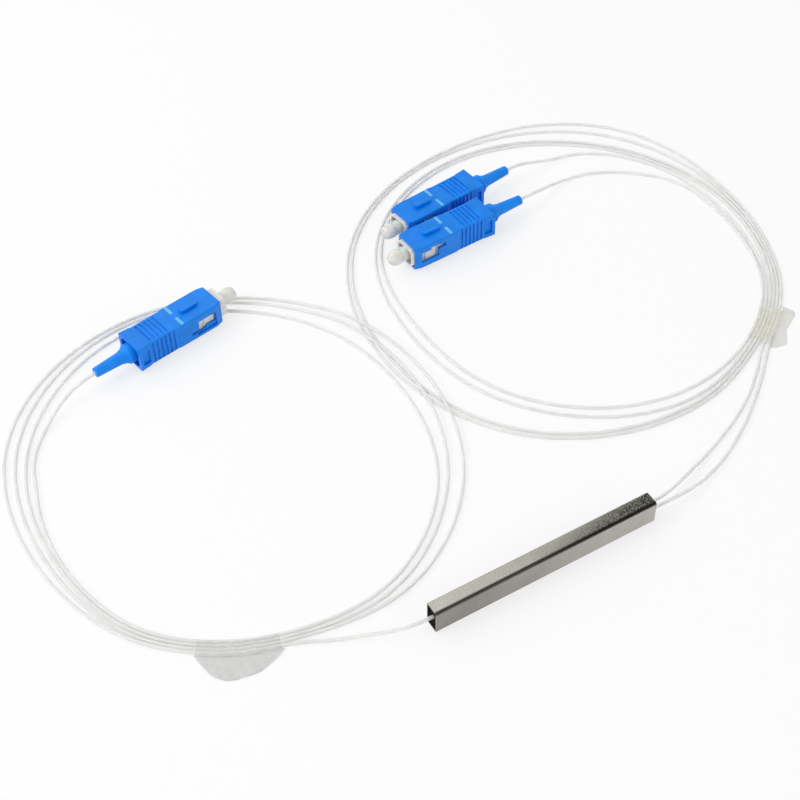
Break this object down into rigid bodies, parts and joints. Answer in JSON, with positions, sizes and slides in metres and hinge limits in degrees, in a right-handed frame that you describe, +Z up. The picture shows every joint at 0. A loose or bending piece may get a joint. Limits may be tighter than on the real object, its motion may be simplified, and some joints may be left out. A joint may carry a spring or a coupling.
{
  "type": "plc fibre splitter",
  "caption": "Fibre splitter in a slim steel tube, with coiled loose-tube pigtails that end in capped push-pull plugs.",
  "frame": {"origin": "bottom centre of the steel splitter tube, on the surface it lies on", "axes": "+X along the tube towards its output end, +Y across the tube towards the coils, +Z up"},
  "size_m": [0.2209, 0.1422, 0.0094],
  "materials": {
    "nickel_steel": "satin nickel-plated steel",
    "black_seal": "matt",
    "silica": "clear",
    "silicone": "soft",
    "blue_plastic": "semi-gloss moulded",
    "cream_plastic": "moulded",
    "zirconia": "polished",
    "nickel_metal": "nickel plated",
    "blue_rubber": "satin moulded",
    "clear_cap": "milky translucent",
    "cord_jacket": "translucent white loose tube",
    "film_tape": "clear film"
  },
  "bodies": {
    "splitter": {"steel_tube": "nickel_steel", "input_end_seal": "black_seal", "output_end_seal": "black_seal", "plc_chip": "silica", "chip_lid": "silica", "input_fibre_block": "silica", "output_fibre_block": "silica", "input_bare_fibre": "silica", "output_bare_fibre_a": "silica", "output_bare_fibre_b": "silica", "lower_pad": "silicone", "upper_pad": "silicone", "input_plug_frame": "cream_plastic", "input_spring": "nickel_metal", "input_stop_ring": "nickel_metal", "input_boot": "blue_rubber", "output_a_plug_frame": "cream_plastic", "output_a_spring": "nickel_metal", "output_a_stop_ring": "nickel_metal", "output_a_boot": "blue_rubber", "output_b_plug_frame": "cream_plastic", "output_b_spring": "nickel_metal", "output_b_stop_ring": "nickel_metal", "output_b_boot": "blue_rubber", "input_lead": "cord_jacket", "input_coil": "cord_jacket", "input_tail": "cord_jacket", "output_lead_a": "cord_jacket", "output_lead_b": "cord_jacket", "output_coil": "cord_jacket", "output_tail_a": "cord_jacket", "output_tail_b": "cord_jacket", "input_coil_tape": "film_tape", "output_coil_tape": "film_tape"},
    "input_grip": {"input_grip": "blue_plastic"},
    "input_ferrule": {"input_ferrule": "zirconia", "input_ferrule_flange": "nickel_metal"},
    "input_cap": {"input_dust_cap": "clear_cap"},
    "output_a_grip": {"output_a_grip": "blue_plastic"},
    "output_a_ferrule": {"output_a_ferrule": "zirconia", "output_a_ferrule_flange": "nickel_metal"},
    "output_a_cap": {"output_a_dust_cap": "clear_cap"},
    "output_b_grip": {"output_b_grip": "blue_plastic"},
    "output_b_ferrule": {"output_b_ferrule": "zirconia", "output_b_ferrule_flange": "nickel_metal"},
    "output_b_cap": {"output_b_dust_cap": "clear_cap"}
  },
  "joints": [
    {"name": "input_grip_slide", "type": "slide", "parent": "splitter", "child": "input_grip", "axis": [0.9826, 0.1857, 0], "range_m": [0, 0.002]},
    {"name": "input_ferrule_slide", "type": "slide", "parent": "splitter", "child": "input_ferrule", "axis": [0.9826, 0.1857, 0], "range_m": [-0.0015, 0], "stiffness_N_per_m": 800, "springref_m": 0.003, "deforming": ["input_spring"]},
    {"name": "input_cap_pull", "type": "slide", "parent": "input_ferrule", "child": "input_cap", "axis": [0.9826, 0.1857, 0], "range_m": [0, 0.012]},
    {"name": "output_a_grip_slide", "type": "slide", "parent": "splitter", "child": "output_a_grip", "axis": [-0.9984, -0.0558, 0], "range_m": [-0.0012, 0.0008]},
    {"name": "output_a_ferrule_slide", "type": "slide", "parent": "splitter", "child": "output_a_ferrule", "axis": [-0.9984, -0.0558, 0], "range_m": [-0.0015, 0], "stiffness_N_per_m": 800, "springref_m": 0.003, "deforming": ["output_a_spring"]},
    {"name": "output_a_cap_pull", "type": "slide", "parent": "output_a_ferrule", "child": "output_a_cap", "axis": [-0.9984, -0.0558, 0], "range_m": [0, 0.012]},
    {"name": "output_b_grip_slide", "type": "slide", "parent": "splitter", "child": "output_b_grip", "axis": [-0.9925, -0.1219, 0], "range_m": [-0.0012, 0.0008]},
    {"name": "output_b_ferrule_slide", "type": "slide", "parent": "splitter", "child": "output_b_ferrule", "axis": [-0.9925, -0.1219, 0], "range_m": [-0.0015, 0], "stiffness_N_per_m": 800, "springref_m": 0.003, "deforming": ["output_b_spring"]},
    {"name": "output_b_cap_pull", "type": "slide", "parent": "output_b_ferrule", "child": "output_b_cap", "axis": [-0.9925, -0.1219, 0], "range_m": [0, 0.012]}
  ]
}
